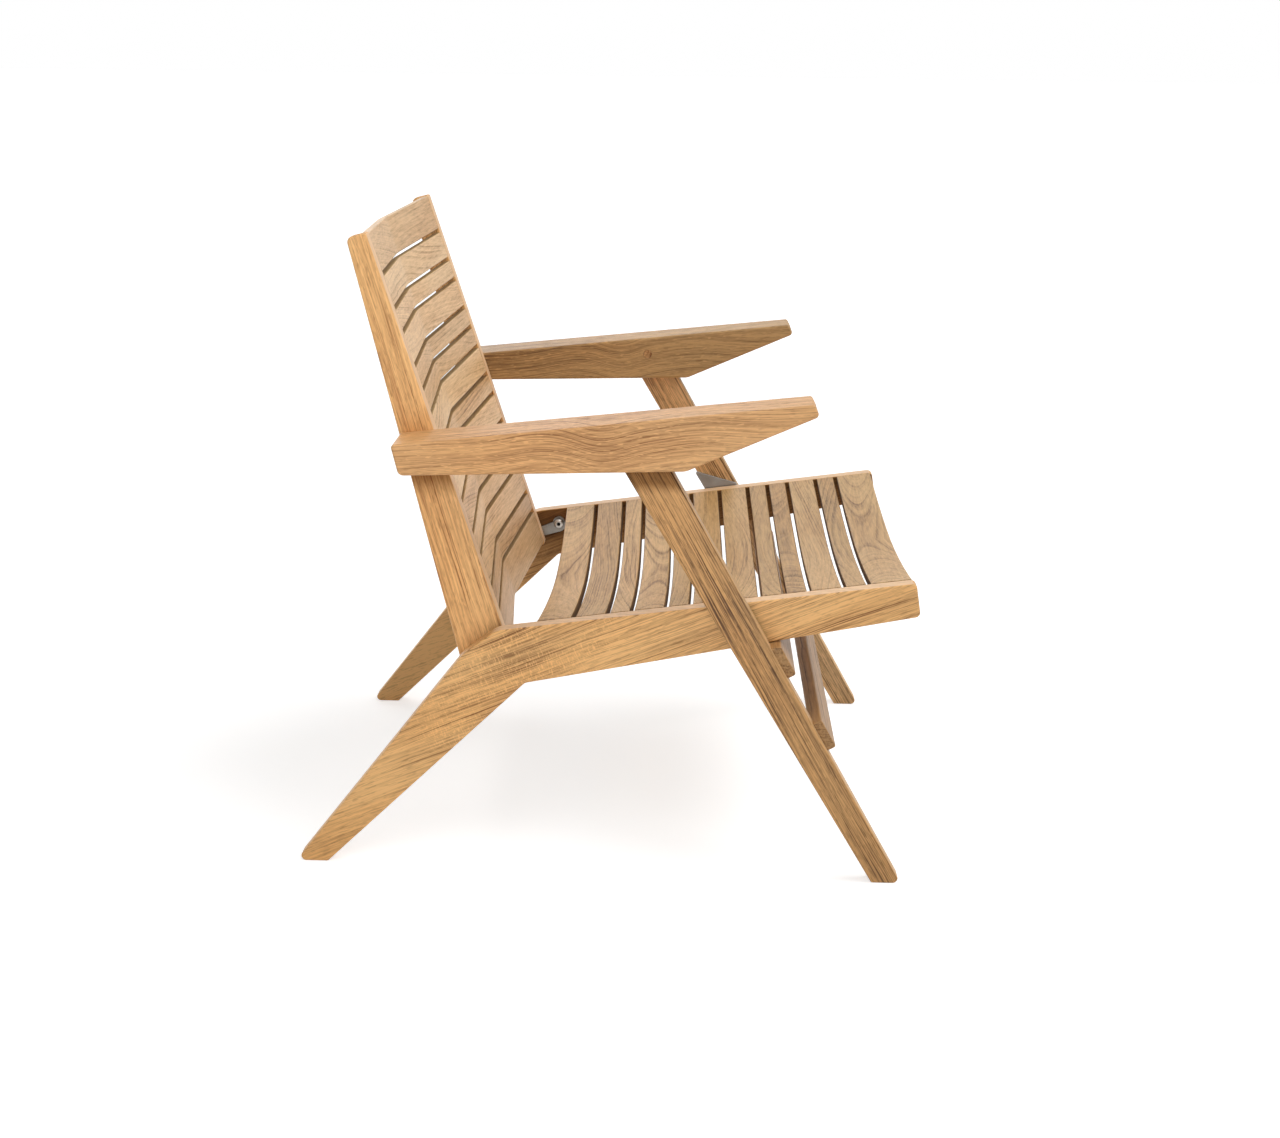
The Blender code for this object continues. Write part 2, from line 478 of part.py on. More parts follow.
for tag, side in SIDES:
    rail = board(f"rear_leg_rail_{tag}", RAIL_OUTLINE, rail_in, rail_out, side, FRAME_WOOD)
    cut(rail, [mortise(seat_origin, seat_along, seat_down, a, w, SEAT_SLAT_T, rail_in, tenon_width(w), side)
               for a, w in seat_rows]
        + [hole(HINGE, rail_in - OVER, rail_out - BOLT_COVER + BOLT_END, HINGE_R + FIT, side),
           hole(LEG_PIVOT, rail_in - OVER, rail_out + OVER, PIVOT_R + FIT, side)])

    stile = board(f"back_stile_{tag}", STILE_OUTLINE, stile_in, stile_out, side, FRAME_WOOD)
    screw_end = stile_out - SCREW_L
    cut(stile, [mortise(back_origin, back_along, back_behind, a, w, BACK_SLAT_T, stile_in, tenon_width(w),
                        side) for a, w in back_rows]
        + [hole(ARM_BOLT, stile_in - OVER, stile_out + OVER, PIN_R + FIT, side)]
        + [hole(p, screw_end - BOLT_END, stile_out + OVER, SCREW_R + FIT, side, 12) for p in SCREWS])

    leg = board(f"front_leg_{tag}", LEG_OUTLINE, leg_in, leg_out, side, FRAME_WOOD)
    past_edge, notch_back = LEG_EDGE + OVER, bar_back - FIT
    upper = [leg_point(stop_back - FIT, notch_back),
             leg_point(under_rail(past_edge, STOP_GAP) - FIT, past_edge),
             leg_point(stop_end + FIT, past_edge), leg_point(stop_end + FIT, notch_back)]
    lower = [leg_point(STRETCHER_AT - FIT, notch_back), leg_point(STRETCHER_AT - FIT, past_edge),
             leg_point(stretcher_end + FIT, past_edge), leg_point(stretcher_end + FIT, notch_back)]
    cut(leg, [block(upper, leg_in - OVER, bar_end + FIT, side),
              block(lower, leg_in - OVER, bar_end + FIT, side),
              hole(ARM_PIN, leg_in - OVER, leg_out + OVER, PIN_R + FIT, side),
              hole(LEG_PIVOT, leg_in - OVER, leg_out - BOLT_COVER, PIVOT_R + FIT, side)])

    arm = board(f"armrest_{tag}", ARM_OUTLINE, arm_in, arm_outer, side, FRAME_WOOD, ARM_ARRIS)
    slot_in, slot_out = leg_in - 2 * FIT, leg_out + 2 * FIT
    pin_start, pin_end = arm_in + PLUG_L + 2 * FIT, slot_out + PIN_SEAT
    cut(arm, [block(SLOT_OUTLINE, slot_in, slot_out, side)])
    cut(arm, [hole(ARM_PIN, arm_in - OVER, pin_end + FIT, PIN_R + FIT, side),
              hole(ARM_BOLT, arm_in - OVER, arm_in + ARM_BOLT_L + BOLT_END, PIN_R + FIT, side)])
    cut(arm, [hole(ARM_PIN, arm_in - OVER, arm_in + PLUG_L + FIT, PIN_R + PLUG_STEP + FIT, side)])

    plate = board(f"pivot_plate_{tag}", PLATE_OUTLINE, leg_in - FIT - PLATE_T, leg_in - FIT, side, STEEL,
                  SHEET_ARRIS, 3)
    cut(plate, [hole(LEG_PIVOT, rail_out, leg_in + OVER, PIVOT_R + FIT, side)])
    bracket = board(f"hinge_bracket_{tag}", BRACKET_OUTLINE, stile_out + FIT, stile_out + FIT + BRACKET_T,
                    side, STEEL, SHEET_ARRIS)
    bracket_face = stile_out + BRACKET_T + 2 * FIT
    cut(bracket, [hole(HINGE, stile_out - OVER, bracket_face + OVER, HINGE_R + FIT, side)]
        + [hole(p, stile_out - OVER, bracket_face + OVER, SCREW_R + FIT, side, 12) for p in SCREWS])

    bolt(f"hinge_bolt_{tag}", HINGE, stile_out, rail_out - BOLT_COVER, HINGE_R, HEAD_R, HEAD_H, side)
    ring_washer(f"hinge_spacer_{tag}", HINGE, bracket_face, rail_in - FIT, HINGE_R + FIT, SPACER_R, side)
    bolt(f"leg_pivot_bolt_{tag}", LEG_PIVOT, rail_in - FIT, leg_out - BOLT_COVER - BOLT_END, PIVOT_R,
         HEAD_R, HEAD_H, side)
    ring_washer(f"pivot_washer_{tag}", LEG_PIVOT, rail_out + FIT, leg_in - PLATE_T - 2 * FIT, PIVOT_R + FIT,
                WASHER_R, side)
    bolt(f"arm_bolt_{tag}", ARM_BOLT, stile_in - FIT, arm_in + ARM_BOLT_L, PIN_R, HEAD_R, HEAD_H, side)
    lathe(f"arm_pin_{tag}", [(pin_start, PIN_R, False), (pin_end, PIN_R, False)], ARM_PIN, side, STEEL)
    plug_r = PIN_R + PLUG_STEP
    lathe(f"arm_plug_{tag}", [(arm_in, plug_r, False), (arm_in + PLUG_L, plug_r, False)], ARM_PIN, side,
          FRAME_WOOD)
    for k, p in enumerate(SCREWS, 1):
        bolt(f"bracket_screw_{tag}_{k}", p, bracket_face, screw_end, SCREW_R, SCREW_HEAD_R, SCREW_HEAD_H,
             side, -1.0, 12)


def hang(child, carrier):
    """Hang the child on the carrier and leave it where it is."""
    child.parent = carrier
    child.matrix_parent_inverse = Matrix.Translation(-carrier.location)


# Bodies: an empty on the axis about which each turns carries its pieces, found by the start of their names
BODIES = [("seat_frame", None, 0.0, (0.0, 0.0),
           ("rear_leg_rail", "seat_slat", "hinge_bolt", "hinge_spacer", "pivot_washer")),
          ("back_frame", "seat_frame", 0.0, HINGE,
           ("back_stile", "back_slat", "hinge_bracket", "bracket_screw")),
          ("leg_frame", "seat_frame", 0.0, LEG_PIVOT,
           ("front_leg", "stop_bar", "stretcher", "pivot_plate", "leg_pivot_bolt"))]
for tag, side in SIDES:
    BODIES.append((f"arm_{tag}", "back_frame", side * (arm_in + ARM_BOLT_L / 2), ARM_BOLT,
                   tuple(f"{piece}_{tag}" for piece in ("armrest", "arm_bolt", "arm_pin", "arm_plug"))))
pieces = list(bpy.data.objects)
carriers = {}
for body, parent, x, at, starts in BODIES:
    carriers[body] = bpy.data.objects.new(body, None)
    carriers[body].empty_display_size = AXIS_MARK
    carriers[body].location = (x, -at[0], at[1])
    bpy.context.scene.collection.objects.link(carriers[body])
    if parent:
        hang(carriers[body], carriers[parent])
    for piece in pieces:
        if piece.name.startswith(starts):
            hang(piece, carriers[body])
            piece.data.shade_smooth()
            piece.data.set_sharp_from_angle(angle=SMOOTH_BELOW)
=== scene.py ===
"""Looks of a folding slatted lounge chair: oiled teak boards and slats, brushed steel fittings.

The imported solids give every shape. Each one is copied into a piece with merged facets and soft edges. Each
board and slat gets its own timber: growth rings round a pith line, so that faces, edges and ends of a board
belong together.
"""

import json
import math
from typing import NamedTuple

import bmesh
import bpy
from mathutils import Matrix, Vector

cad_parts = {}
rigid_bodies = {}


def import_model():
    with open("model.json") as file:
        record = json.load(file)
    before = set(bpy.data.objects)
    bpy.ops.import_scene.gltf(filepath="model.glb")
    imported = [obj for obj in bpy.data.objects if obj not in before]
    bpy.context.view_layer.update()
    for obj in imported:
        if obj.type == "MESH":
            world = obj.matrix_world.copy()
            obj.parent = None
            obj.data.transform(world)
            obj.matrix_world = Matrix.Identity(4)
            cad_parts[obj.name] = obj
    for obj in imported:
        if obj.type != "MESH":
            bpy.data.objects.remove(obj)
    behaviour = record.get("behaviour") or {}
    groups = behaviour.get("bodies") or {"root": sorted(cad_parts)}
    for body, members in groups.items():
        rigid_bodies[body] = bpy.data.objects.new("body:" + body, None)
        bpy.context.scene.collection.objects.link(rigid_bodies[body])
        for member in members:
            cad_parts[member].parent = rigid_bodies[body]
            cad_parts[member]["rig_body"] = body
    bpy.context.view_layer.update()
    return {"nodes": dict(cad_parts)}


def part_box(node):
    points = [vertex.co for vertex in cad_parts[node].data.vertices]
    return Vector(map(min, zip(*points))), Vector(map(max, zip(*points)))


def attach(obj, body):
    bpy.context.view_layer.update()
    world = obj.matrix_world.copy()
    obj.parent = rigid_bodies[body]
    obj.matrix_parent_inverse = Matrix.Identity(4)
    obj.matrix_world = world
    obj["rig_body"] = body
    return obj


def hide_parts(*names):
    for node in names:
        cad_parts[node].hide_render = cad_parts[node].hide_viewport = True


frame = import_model()

# Camera of the photograph, in metres, degrees and millimetres
EYE = Vector((-2.3080, -0.0930, 0.9826))
YAW, PITCH, ROLL = -1.4394, 16.5434, 0.6727
LENS, SENSOR = 50.878, 36.0
FAR_CLIP = 100.0

# Directions of the chair; SIDE points to the sitter's left
SIDE = Vector((1.0, 0.0, 0.0))
FORWARD = Vector((0.0, -1.0, 0.0))
UP = Vector((0.0, 0.0, 1.0))


def in_side(forward, up):
    """Direction in side view."""
    return (FORWARD * forward + UP * up).normalized()


def across_of(grain):
    """Direction across the grain in side view."""
    return grain.cross(SIDE)


ARM_GRAIN = in_side(0.4755, 0.0300)
STILE_GRAIN = in_side(-0.1430, 0.5000)
LEG_GRAIN = in_side(0.4901, -0.8717)
LEG_FRONT = in_side(0.8717, 0.4901)
RAIL_GRAIN = in_side(0.4200, 0.1750)
SEAT_FACE = in_side(-0.1363, 0.9907)
BACK_FACE = in_side(0.9506, 0.3103)
TO_SEAT_REAR = SEAT_FACE.cross(SIDE)
TO_BACK_TOP = BACK_FACE.cross(SIDE)


class Marks(NamedTuple):
    """A kind of mark in wood or steel that noise draws.

    along and across are how many marks a metre holds along the grain and across it; marks that follow the
    rings have across in one ring. shows is the noise at which a mark begins and is full. layer is the slice
    of the noise for marks that are alike through the thickness of a board.
    """
    along: float
    across: float
    detail: float = 1.0
    rough: float = 0.5
    shows: tuple = (0.0, 1.0)
    layer: float = 0.0


# Sockets of a Mix node for colours
MIX_SHARE, MIX_FIRST, MIX_SECOND, MIX_RESULT = 0, 6, 7, 2


class Wire:
    """A shader socket in sums: each operator on values adds one Math node, and make() adds any other node."""

    def __init__(self, tree, socket):
        self.tree, self.socket = tree, socket

    def make(self, kind, settings=None, inputs=None, output=0):
        node = self.tree.nodes.new(kind)
        for key, value in (settings or {}).items():
            if key == "stops":
                ramp = node.color_ramp
                while len(ramp.elements) < len(value):
                    ramp.elements.new(0.5)
                for element, (at, colour) in zip(ramp.elements, value):
                    element.position = at
                    element.color = colour
            else:
                setattr(node, key, value)
        for key, value in (inputs or {}).items():
            if isinstance(value, Wire):
                self.tree.links.new(value.socket, node.inputs[key])
            else:
                node.inputs[key].default_value = value
        return Wire(self.tree, node.outputs[output])

    def math(self, operation, *values):
        return self.make("ShaderNodeMath", {"operation": operation}, dict(enumerate(values)))

    def __add__(self, other):
        return self.math("ADD", self, other)

    def __sub__(self, other):
        return self.math("SUBTRACT", self, other)

    def __mul__(self, other):
        return self.math("MULTIPLY", self, other)

    def __pow__(self, other):
        return self.math("POWER", self, other)

    def dot(self, direction):
        return self.make("ShaderNodeVectorMath", {"operation": "DOT_PRODUCT"},
                         {0: self, 1: tuple(direction)}, "Value")

    def band(self, low, high, bottom=0.0, top=1.0):
        """Smooth step from bottom to top while this value goes from low to high."""
        return self.make("ShaderNodeMapRange", {"interpolation_type": "SMOOTHSTEP"},
                         {"Value": self, "From Min": low, "From Max": high, "To Min": bottom, "To Max": top})

    def noise(self, kind, x, y, z):
        """Noise of one kind of mark at three values."""
        at = self.make("ShaderNodeCombineXYZ", {}, {0: x, 1: y, 2: z})
        return self.make("ShaderNodeTexNoise", {"noise_dimensions": "3D"},
                         {"Vector": at, "Scale": 1.0, "Detail": kind.detail, "Roughness": kind.rough})

    def mixed(self, first, second, blend="MIX"):
        """The first colour going over to the second by this value."""
        return self.make("ShaderNodeMix", {"data_type": "RGBA", "blend_type": blend},
                         {MIX_SHARE: self, MIX_FIRST: first, MIX_SECOND: second}, MIX_RESULT)

    def attribute(self, name):
        """A number that the mesh carries on its points."""
        return self.make("ShaderNodeAttribute", {"attribute_name": name}, {}, "Fac")

    def feed(self, shader, name):
        """Link this value to an input of a shader."""
        self.tree.links.new(self.socket, shader.inputs[name])


def bell(first, *others):
    """1 where every value is 0, falling smoothly to 0 around it."""
    total = first * first
    for value in others:
        total = total + value * value
    return total.math("EXPONENT", total * -1.0)


def new_material(name):
    mat = bpy.data.materials.new(name)
    mat.use_nodes = True
    return mat, mat.node_tree.nodes["Principled BSDF"], Wire(mat.node_tree, None)


def linear(*display):
    """Colour written in 0 to 255 display values."""
    return tuple(((v / 255 + 0.055) / 1.055) ** 2.4 for v in display) + (1.0,)


def grey(value):
    return value, value, value, 1.0


def darker(colour, share):
    return tuple(share * c for c in colour[:3]) + (1.0,)


# Masks: each takes the place on a piece and the direction of its surface
def facing(*ways, turned=0.45, full=0.85, share=1.0):
    """Faces that look in one of the directions, from the cosine turned, where it begins, to full."""
    def mask(spot, skin):
        total = skin.dot(ways[0]).band(turned, full, 0.0, share)
        for way in ways[1:]:
            total = total + skin.dot(way).band(turned, full, 0.0, share)
        return total
    return mask


# Painted shade on the bed of the slats: how far below their top it begins and is full and its share at the
# bottom, how far behind the first slat it begins and is full, its soft edges at the top and at the front slat
BED_START, BED_FULL, BED_LEAST = 0.090, 0.030, 0.35
BED_REAR_START, BED_REAR_FULL = 0.075, 0.045
BED_TOP_EDGE, BED_FRONT_EDGE = 0.001, 0.003
BED_FACING = (0.6, 0.9)


def slat_bed(inward, up, top, rear, front):
    """Painted shade on a rail's inner side between and under the slat ends; it gets lighter downwards."""
    def mask(spot, skin):
        level, ahead = spot.dot(up), spot.dot(FORWARD)
        below_top = level.band(top, top + BED_TOP_EDGE, 1.0, 0.0)
        strip = level.band(top - BED_START, top - BED_FULL, BED_LEAST, 1.0) * below_top
        behind_front = ahead.band(front - BED_FRONT_EDGE, front + BED_FRONT_EDGE, 1.0, 0.0)
        length = ahead.band(rear - BED_REAR_START, rear - BED_REAR_FULL) * behind_front
        return skin.dot(inward).band(*BED_FACING) * strip * length
    return mask


# Painted shade under an armrest: the share of its reach at which it is full, and its soft edge at the top
ARM_SHADE_FULL, ARM_SHADE_EDGE = 0.4, 0.004
ARM_SHADE_FACING = (0.5, 0.9)


def under_arm(height, reach, outward):
    """Painted shade on the outer side of a board just below the height of an armrest's underside."""
    def mask(spot, skin):
        level = spot.dot(UP)
        strip = level.band(height - reach, height - ARM_SHADE_FULL * reach)
        below = level.band(height, height + ARM_SHADE_EDGE, 1.0, 0.0)
        return skin.dot(outward).band(*ARM_SHADE_FACING) * strip * below
    return mask


# Teak. One growth ring from the inside out: a dark line of pores that fades into plain wood
CRISP_RING = [(0.00, 0.50), (0.04, 1.00), (0.11, 0.55), (0.28, 0.26), (0.62, 0.10), (0.95, 0.06),
              (1.00, 0.50)]
THIN_RING = [(0.00, 0.35), (0.025, 1.00), (0.07, 0.40), (0.22, 0.16), (0.60, 0.07), (0.96, 0.05),
             (1.00, 0.35)]
SOFT_RING = [(0.00, 0.45), (0.08, 0.85), (0.26, 0.40), (0.55, 0.18), (0.90, 0.08), (1.00, 0.45)]

# Waviness of the growth, and how far it moves the rings in metres
DRIFT, DRIFT_REACH = Marks(2.4, 7.0, rough=0.4), 0.034
SWAY, SWAY_REACH = Marks(9.0, 24.0, rough=0.4), 0.005
# Unequal years, in rings; strong and weak rings; hair lines between them
UNEVEN, UNEVEN_REACH = Marks(0.9, 0.23, layer=4.7), 2.6
STRONG, WEAK_RING = Marks(3.5, 0.61, shows=(0.34, 0.66), layer=1.3), 0.15
HAIR = Marks(5.0, 5.5, layer=2.2)
# Calm and lively places of a board, fibres and streaks that follow the rings, broad patches
CALM = Marks(4.0, 10.0, shows=(0.36, 0.58), layer=5.5)
FIBRE = Marks(8.0, 330.0, 3.0, 0.75)
STREAK = Marks(2.6, 85.0, 2.0, 0.55)
PATCH = Marks(3.2, 15.0, 2.0, shows=(0.28, 0.72))
# Sanded nap, pores, pale flecks, and rays with the fields that they lie in
NAP = Marks(36.0, 480.0)
PORE = Marks(80.0, 560.0, shows=(0.54, 0.68))
FLECK = Marks(95.0, 430.0, rough=0.4, shows=(0.60, 0.72))
RAY = Marks(620.0, 110.0, shows=(0.50, 0.72))
RAY_FIELD = Marks(11.0, 26.0, shows=(0.42, 0.62), layer=7.7)
RAY_EDGE = 0.03

# Shares in the tone of the wood, which goes from 0, light, to 1, dark
RING_TONE, STREAK_TONE, FIBRE_TONE, NAP_TONE, END_TONE, BASE_TONE = 0.78, 0.55, 1.10, 0.65, 0.22, 0.24
PATCH_PALE, PATCH_DARK = -0.12, 0.14
# What quiet wood and worn arrises take off the tone; rings left in quiet wood, and pores in a ring line
QUIET_PALE, ARRIS_PALE = 0.16, 0.10
QUIET_RINGS, RING_PORES = 0.65, 0.8
# Colour: share of the dark tone half way, tint of the patches, cover and darkness of the pores
HALF_WAY_DARK = 0.42
WARM_TINT, WARM_SHOWS = (1.04, 0.98, 0.90, 1.0), (0.35, 0.70)
PORE_COVER, PORE_SHADE = 0.45, 0.62
# Roughness of the oiled wood and what is added to it, more on faces with painted shade; worn arrises are
# smoother
BASE_ROUGH, PORE_ROUGH, FIBRE_ROUGH, RING_ROUGH, END_ROUGH, SHADED_FACE_ROUGH = 0.47, 0.16, 0.16, 0.06, 0.12, 0.45
ARRIS_SMOOTH = 0.05
# Relief of fibres over pores and ring lines, and its depth in metres
FIBRE_HIGH, PORE_LOW, RING_LOW = 0.45, 0.9, 0.25
RELIEF_STRENGTH, RELIEF_DEPTH = 0.30, 0.0006
# Gloss of the oil, how sharply end grain begins, and the middle value of the noise
OIL_IOR, OIL_SPECULAR = 1.48, 0.42
END_FALL = 4.0
NOISE_MIDDLE = 0.5


class Grain:
    """A board's own places: run along the grain, side and deep across it, from the board's centre.

    spot is the place on the chair, skin the direction of the surface; end is 1 on end grain and arris on
    worn edges.
    """

    def __init__(self, w, centre, along, across, shift):
        self.w, self.shift = w, shift
        self.spot = w.make("ShaderNodeTexCoord", {}, {}, "Object")
        self.skin = Wire(w.tree, self.spot.socket.node.outputs["Normal"])
        here = w.make("ShaderNodeVectorMath", {"operation": "SUBTRACT"}, {0: self.spot, 1: tuple(centre)})
        self.run, self.side, self.deep = here.dot(along), here.dot(across), here.dot(along.cross(across))
        self.end = w.math("ABSOLUTE", self.skin.dot(along)) ** END_FALL
        self.arris = w.attribute("arris")

    def marks(self, kind, start=None, aside=0.0, below=0.0, crosswise=None):
        """Marks through the whole board. start, aside and below move them, so that no two kinds agree."""
        first, second = crosswise or (self.side, self.deep)
        x = self.run * kind.along + (self.shift if start is None else start)
        y, z = first * kind.across, second * kind.across
        return self.w.noise(kind, x, y + aside if aside else y, z + below if below else z)

    def flat_marks(self, kind, start, aside=0.0):
        """Marks that are alike through the thickness of the board."""
        y = self.side * kind.across
        return self.w.noise(kind, self.run * kind.along + start, y + aside if aside else y, kind.layer)

    def ring_marks(self, kind, year, start):
        """Marks that follow the growth rings."""
        return self.w.noise(kind, year * kind.across + start, self.run * kind.along, kind.layer)


def place_in_log(grain, pith, wander, bends):
    """Place across the log, from its pith, with the waviness of the growth."""
    shift = grain.shift
    drift = grain.marks(DRIFT, shift, shift, 3.1) - NOISE_MIDDLE
    sway = grain.marks(SWAY, 9.0, shift, shift) - NOISE_MIDDLE
    u = grain.side + drift * (DRIFT_REACH * wander) + sway * (SWAY_REACH * wander) - pith[0]
    for at, half, rise in bends:
        u = u - bell((grain.run - at) * (1.0 / half)) * rise
    return u, grain.deep + sway * (SWAY_REACH * wander) - pith[1]


def growth_year(grain, crosswise, pitch, taper):
    """How many rings lie inside a place across the log."""
    u, v = crosswise
    radius = (u * u + v * v) ** 0.5 + grain.run * taper
    year = radius * (1.0 / pitch)
    return year + grain.ring_marks(UNEVEN, year, grain.shift) * UNEVEN_REACH


def ray_marks(grain, strength, start, stop):
    """Short pale marks across the grain, in fields between two places along the board."""
    ray = grain.marks(RAY).band(*RAY.shows)
    field = grain.flat_marks(RAY_FIELD, 2.0, grain.shift).band(*RAY_FIELD.shows)
    ahead = grain.run.band(start - RAY_EDGE, start + RAY_EDGE)
    return ray * field * (ahead * grain.run.band(stop - RAY_EDGE, stop + RAY_EDGE, 1.0, 0.0)) * strength


class Figure(NamedTuple):
    """What the grain draws on a board: late wood of the rings, hair lines between them, and other marks."""
    late: Wire
    hair: Wire
    fibre: Wire
    streak: Wire
    patch: Wire
    nap: Wire
    pore: Wire


def draw_figure(grain, crosswise, year, profile, lines, even, pores, quiet):
    """The figure of a board whose places across the log and years are given."""
    w, shift = grain.w, grain.shift
    ring = w.make("ShaderNodeValToRGB", {"stops": [(at, grey(value)) for at, value in profile]},
                  {"Fac": w.math("FRACT", year)})
    # Multiples of shift keep the kinds of marks from repeating each other
    strong = grain.ring_marks(STRONG, year, 2.0 * shift).band(*STRONG.shows, WEAK_RING, 1.0)
    calm = grain.flat_marks(CALM, 3.0 * shift).band(*CALM.shows, even, 1.0)
    if quiet:
        calm = calm * grain.run.band(*quiet, 1.0, QUIET_RINGS)
    late = ring * strong * calm * lines
    return Figure(late=late,
                  hair=(grain.ring_marks(HAIR, year, shift) - NOISE_MIDDLE) * calm,
                  fibre=grain.marks(FIBRE, crosswise=crosswise) - NOISE_MIDDLE,
                  streak=(grain.marks(STREAK, crosswise=crosswise) - NOISE_MIDDLE) * calm,
                  patch=grain.marks(PATCH, 5.0 * shift, shift),
                  nap=grain.marks(NAP) - NOISE_MIDDLE,
                  pore=grain.marks(PORE).band(*PORE.shows) * (late * RING_PORES + pores))


def wood_tone(grain, figure, fine, flecks, rays, quiet, stains):
    """Tone of the wood from 0, light, to 1, dark."""
    tone = figure.late * RING_TONE + figure.hair * fine + figure.streak * STREAK_TONE
    tone = tone + figure.fibre * FIBRE_TONE + figure.nap * NAP_TONE
    tone = tone + figure.patch.band(*PATCH.shows, PATCH_PALE, PATCH_DARK)
    if quiet:
        tone = tone - grain.run.band(*quiet, 0.0, QUIET_PALE)
    for at, off, long, wide, strength in stains:
        tone = tone + bell((grain.run - at) * (1.0 / long), (grain.side - off) * (1.0 / wide)) * strength
    if rays:
        tone = tone - ray_marks(grain, *rays)
    if flecks:
        tone = tone - grain.marks(FLECK).band(*FLECK.shows) * flecks
    return tone + grain.end * END_TONE - grain.arris * ARRIS_PALE + BASE_TONE


def teak(name, centre, along, across, tones, shift, pith, pitch, taper=0.0, wander=1.0, profile=CRISP_RING,
         lines=1.0, fine=0.0, even=0.40, pores=0.10, flecks=0.0, rays=None, bends=(), quiet=None, stains=(),
         faces=()):
    """Oiled teak as a solid: growth rings round a pith line that runs along the grain.

    tones is (light, dark); shift moves the board to another place in the tree; pith is the pith's place from
    the board's centre, (across, deep); pitch is the width of a ring and taper its drift along the board,
    which draws the arches of flat sawn faces; wander is the waviness; profile is one ring; lines and fine are
    the strength of the rings and of the hair lines between them, and even is their share in the calm places;
    pores are dark dashes between the rings and flecks pale ones; rays is (strength, from, to) of the short
    pale marks across the grain; each of bends is (place along the board, half length, rise) of a swell in
    the rings; quiet is (from, to) of a stretch over which the rings fade and the wood gets paler; each of
    stains is (along, across, half length, half width, strength) of a darker patch, or a paler one below
    zero; each of faces is (mask, colour, way of mixing).
    """
    mat, shader, w = new_material(name)
    grain = Grain(w, centre, along, across, shift)
    crosswise = place_in_log(grain, pith, wander, bends)
    year = growth_year(grain, crosswise, pitch, taper)
    figure = draw_figure(grain, crosswise, year, profile, lines, even, pores, quiet)
    tone = wood_tone(grain, figure, fine, flecks, rays, quiet, stains)

    light, dark = tones
    half_way = tuple((1.0 - HALF_WAY_DARK) * a + HALF_WAY_DARK * b for a, b in zip(light, dark))
    wood = w.make("ShaderNodeValToRGB", {"stops": [(0.0, light), (0.5, half_way), (1.0, dark)]},
                  {"Fac": tone})
    wood = figure.patch.band(*WARM_SHOWS).mixed(wood, WARM_TINT, "MULTIPLY")
    wood = (figure.pore * PORE_COVER).mixed(wood, darker(dark, PORE_SHADE))
    rough = figure.pore * PORE_ROUGH + figure.fibre * FIBRE_ROUGH + figure.late * RING_ROUGH
    rough = rough + grain.end * END_ROUGH - grain.arris * ARRIS_SMOOTH + BASE_ROUGH
    # Painted shade is multiplied in and painted sheen mixed in on some faces; faces with painted shade get
    # rougher
    for mask, colour, blend in faces:
        cover = mask(grain.spot, grain.skin)
        wood = cover.mixed(wood, colour, blend)
        if blend == "MULTIPLY":
            rough = rough + cover * SHADED_FACE_ROUGH
    wood.feed(shader, "Base Color")
    rough.feed(shader, "Roughness")
    relief = figure.fibre * FIBRE_HIGH - figure.pore * PORE_LOW - figure.late * RING_LOW
    bump = w.make("ShaderNodeBump", {},
                  {"Strength": RELIEF_STRENGTH, "Distance": RELIEF_DEPTH, "Height": relief})
    bump.feed(shader, "Normal")
    shader.inputs["IOR"].default_value = OIL_IOR
    shader.inputs["Specular IOR Level"].default_value = OIL_SPECULAR
    return mat


# Steel: brush lines and tarnish, the noise between dull and bright metal, the painted shade in sockets and
# round the foot of bolt heads
BRUSH = Marks(60.0, 2600.0, 2.0, 0.6)
TARNISH = Marks(45.0, 45.0, 3.0, 0.55)
BRUSH_TONE, TARNISH_TONE, ARRIS_TONE = 0.5, 0.5, 0.3
BRIGHT_SHOWS, DULL_SHADE = (0.30, 0.85), 0.72
PAINTED_SHADE = (0.015, 0.014, 0.013, 1.0)
STEEL_ROUGH, BRUSH_ROUGH, TARNISH_ROUGH, PAINTED_SHADE_ROUGH = 0.18, 0.22, 0.16, 0.4
BRUSH_STRENGTH, BRUSH_DEPTH = 0.12, 0.0002


def brushed_steel(name, along, tint):
    """Stainless steel with fine brush lines along one direction in side view and a faint tarnish."""
    mat, shader, w = new_material(name)
    spot = w.make("ShaderNodeTexCoord", {}, {}, "Object")
    run, up, lateral = spot.dot(along), spot.dot(across_of(along)), spot.dot(SIDE)
    brush = w.noise(BRUSH, run * BRUSH.along, up * BRUSH.across, lateral * BRUSH.across)
    tarnish = w.noise(TARNISH, run * TARNISH.along, up * TARNISH.across, lateral * TARNISH.across)
    # Near-black painted shade in bolt sockets and round the foot of bolt heads, carried by the pieces' points
    arris, grime = w.attribute("arris"), w.attribute("grime")
    bright = brush * BRUSH_TONE + tarnish * TARNISH_TONE + arris * ARRIS_TONE
    metal = bright.band(*BRIGHT_SHOWS).mixed(darker(tint, DULL_SHADE), tint)
    grime.mixed(metal, PAINTED_SHADE).feed(shader, "Base Color")
    rough = brush * BRUSH_ROUGH + tarnish * TARNISH_ROUGH + grime * PAINTED_SHADE_ROUGH + STEEL_ROUGH
    rough.feed(shader, "Roughness")
    bump = w.make("ShaderNodeBump", {},
                  {"Strength": BRUSH_STRENGTH, "Distance": BRUSH_DEPTH, "Height": brush})
    bump.feed(shader, "Normal")
    shader.inputs["Metallic"].default_value = 1.0
    return mat


# Pieces. Facets that turn less than FLAT_BELOW are merged, edges under SMOOTH_BELOW are shaded round, and
# those over ARRIS_FROM of them are worn; angles in degrees, MERGE in metres
FLAT_BELOW, SMOOTH_BELOW, ARRIS_FROM = 0.4, 52.0, 30.0
MERGE = 2e-6
FACE_WEIGHT = 50


